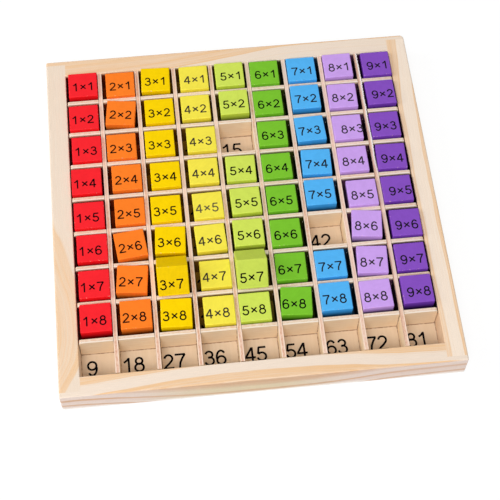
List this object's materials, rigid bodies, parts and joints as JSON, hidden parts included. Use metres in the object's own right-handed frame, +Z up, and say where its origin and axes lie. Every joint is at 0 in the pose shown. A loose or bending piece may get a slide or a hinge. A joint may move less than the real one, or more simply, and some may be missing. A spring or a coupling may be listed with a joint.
{
  "type": "multiplication board",
  "caption": "Shallow square wooden tray with an egg-crate of thin dividers, painted cubes with printed sums in its cells, and a floor printed with the products.",
  "frame": {"origin": "centre of the tray's underside, which it rests on", "axes": "+Z up out of the tray, +Y towards the back rail, +X towards the right rail"},
  "size_m": [0.1928, 0.1928, 0.0272],
  "materials": {
    "pine": "planed and unvarnished",
    "divider_ply": "sanded plywood strip",
    "floor_board": "sanded thin board, printed with plain numbers",
    "red_paint": "satin paint",
    "orange_paint": "satin paint",
    "golden_paint": "satin paint",
    "lemon_paint": "satin paint",
    "lime_paint": "satin paint",
    "green_paint": "satin paint",
    "blue_paint": "satin paint",
    "lilac_paint": "satin paint",
    "purple_paint": "satin paint"
  },
  "bodies": {
    "root": {"front_rail": "pine", "back_rail": "pine", "left_rail": "pine", "right_rail": "pine", "floor_panel": "floor_board", "column_divider_1": "divider_ply", "column_divider_2": "divider_ply", "column_divider_3": "divider_ply", "column_divider_4": "divider_ply", "column_divider_5": "divider_ply", "column_divider_6": "divider_ply", "column_divider_7": "divider_ply", "column_divider_8": "divider_ply", "row_divider_1": "divider_ply", "row_divider_2": "divider_ply", "row_divider_3": "divider_ply", "row_divider_4": "divider_ply", "row_divider_5": "divider_ply", "row_divider_6": "divider_ply", "row_divider_7": "divider_ply", "row_divider_8": "divider_ply", "red_cubes": "red_paint", "orange_cubes": "orange_paint", "golden_cubes": "golden_paint", "lemon_cubes": "lemon_paint", "lime_cubes": "lime_paint", "green_cubes": "green_paint", "blue_cubes": "blue_paint", "lilac_cubes": "lilac_paint", "purple_cubes": "purple_paint"}
  },
  "joints": []
}
